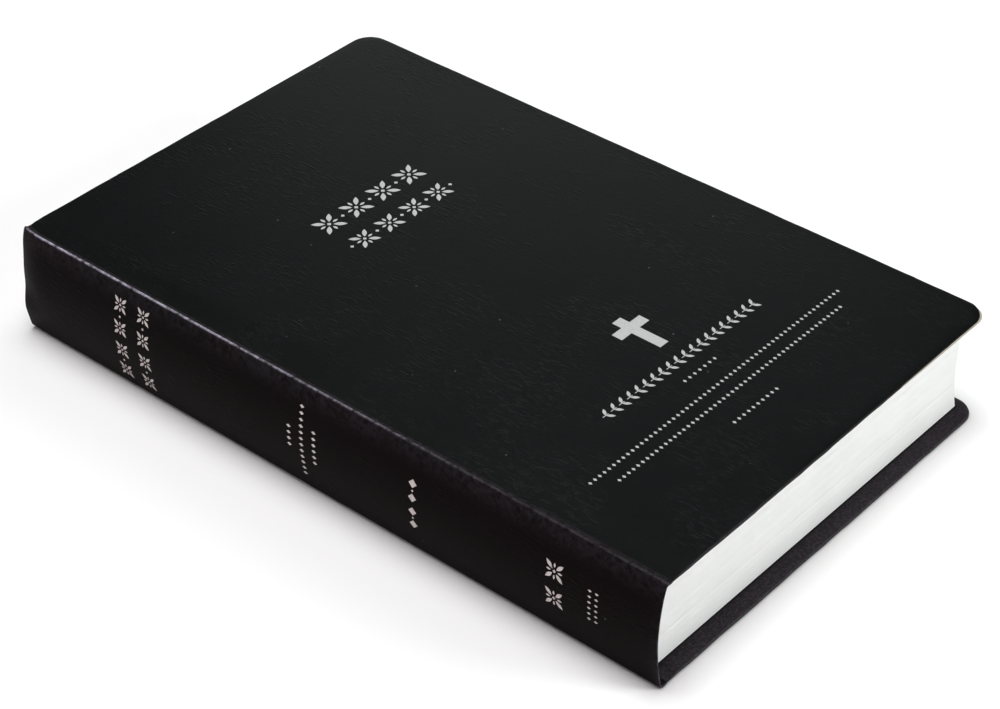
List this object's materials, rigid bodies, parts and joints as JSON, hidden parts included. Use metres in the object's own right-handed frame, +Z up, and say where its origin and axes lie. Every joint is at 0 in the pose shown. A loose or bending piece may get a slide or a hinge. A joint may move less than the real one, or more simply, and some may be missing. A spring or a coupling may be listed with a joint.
{
  "type": "bible",
  "caption": "Soft leather-covered bible with a rounded spine, rounded cover corners and sewn sections; both covers and the middle of the book open.",
  "frame": {"origin": "middle of the closed book on the outer face of the rear cover, which it lies on", "axes": "+X from the spine to the fore-edge, +Y from tail to head, +Z up through the front cover"},
  "size_m": [0.1364, 0.213, 0.032],
  "materials": {
    "leather": "black imitation leather with a fine irregular grain and a low gloss",
    "board": "thin grey flexible board",
    "endpaper": "smooth black endpaper",
    "leaves": "thin smooth white bible paper",
    "cloth": "open-weave bookbinder's cloth",
    "liner": "brown kraft spine liner",
    "adhesive": "flexible clear-to-cream binding adhesive",
    "foil": "matt silver stamping foil"
  },
  "bodies": {
    "lower_block": {"rear_joint_leather": "leather", "rear_hinge_cloth": "cloth", "rear_spine_leather": "leather", "rear_spine_liner": "liner", "rear_spine_adhesive": "adhesive", "rear_flyleaf": "endpaper", "section_25": "leaves", "section_26": "leaves", "section_27": "leaves", "section_28": "leaves", "section_29": "leaves", "section_30": "leaves", "section_31": "leaves", "section_32": "leaves", "section_33": "leaves", "section_34": "leaves", "section_35": "leaves", "section_36": "leaves"},
    "upper_block": {"front_joint_leather": "leather", "front_hinge_cloth": "cloth", "front_spine_leather": "leather", "front_spine_liner": "liner", "front_spine_adhesive": "adhesive", "front_flyleaf": "endpaper", "section_01": "leaves", "section_02": "leaves", "section_03": "leaves", "section_04": "leaves", "section_05": "leaves", "section_06": "leaves", "section_07": "leaves", "section_08": "leaves", "section_09": "leaves", "section_10": "leaves", "section_11": "leaves", "section_12": "leaves"},
    "rear_cover": {"rear_cover_leather": "leather", "rear_cover_board": "board", "rear_cover_lining": "endpaper"},
    "front_cover": {"front_cover_leather": "leather", "front_cover_board": "board", "front_cover_lining": "endpaper"},
    "lower_leaves_1": {"section_19": "leaves", "section_20": "leaves"},
    "lower_leaves_2": {"section_21": "leaves", "section_22": "leaves"},
    "lower_leaves_3": {"section_23": "leaves", "section_24": "leaves"},
    "upper_leaves_1": {"section_18": "leaves", "section_17": "leaves"},
    "upper_leaves_2": {"section_16": "leaves", "section_15": "leaves"},
    "upper_leaves_3": {"section_14": "leaves", "section_13": "leaves"}
  },
  "joints": [
    {"name": "middle_opening", "type": "hinge", "parent": "lower_block", "child": "upper_block", "pos_m": [-0.0684, 0, 0.016], "axis": [0, -1, 0], "range_deg": [0, 180]},
    {"name": "front_cover_hinge", "type": "hinge", "parent": "upper_block", "child": "front_cover", "pos_m": [-0.0618, 0, 0.0323], "axis": [0, -1, 0], "range_deg": [0, 180]},
    {"name": "rear_cover_hinge", "type": "hinge", "parent": "lower_block", "child": "rear_cover", "pos_m": [-0.0618, 0, -0.00105], "axis": [0, 1, 0], "range_deg": [0, 180]},
    {"name": "lower_leaves_1_lift", "type": "hinge", "parent": "lower_block", "child": "lower_leaves_1", "pos_m": [-0.0671, 0, 0.01598], "axis": [0, -1, 0], "range_deg": [0, 6]},
    {"name": "lower_leaves_2_lift", "type": "hinge", "parent": "lower_block", "child": "lower_leaves_2", "pos_m": [-0.06707, 0, 0.01437], "axis": [0, -1, 0], "range_deg": [0, 3]},
    {"name": "lower_leaves_3_lift", "type": "hinge", "parent": "lower_block", "child": "lower_leaves_3", "pos_m": [-0.067, 0, 0.01275], "axis": [0, -1, 0], "range_deg": [0, 1.5]},
    {"name": "upper_leaves_1_lift", "type": "hinge", "parent": "upper_block", "child": "upper_leaves_1", "pos_m": [-0.0671, 0, 0.01602], "axis": [0, 1, 0], "range_deg": [0, 6]},
    {"name": "upper_leaves_2_lift", "type": "hinge", "parent": "upper_block", "child": "upper_leaves_2", "pos_m": [-0.06707, 0, 0.01763], "axis": [0, 1, 0], "range_deg": [0, 3]},
    {"name": "upper_leaves_3_lift", "type": "hinge", "parent": "upper_block", "child": "upper_leaves_3", "pos_m": [-0.067, 0, 0.01925], "axis": [0, 1, 0], "range_deg": [0, 1.5]}
  ],
  "couplings": [
    {"joint": "lower_leaves_1_lift", "follows": "middle_opening", "ratio": 0.03331},
    {"joint": "lower_leaves_2_lift", "follows": "middle_opening", "ratio": 0.01665},
    {"joint": "lower_leaves_3_lift", "follows": "middle_opening", "ratio": 0.00831},
    {"joint": "upper_leaves_1_lift", "follows": "middle_opening", "ratio": 0.03331},
    {"joint": "upper_leaves_2_lift", "follows": "middle_opening", "ratio": 0.01665},
    {"joint": "upper_leaves_3_lift", "follows": "middle_opening", "ratio": 0.00831}
  ]
}
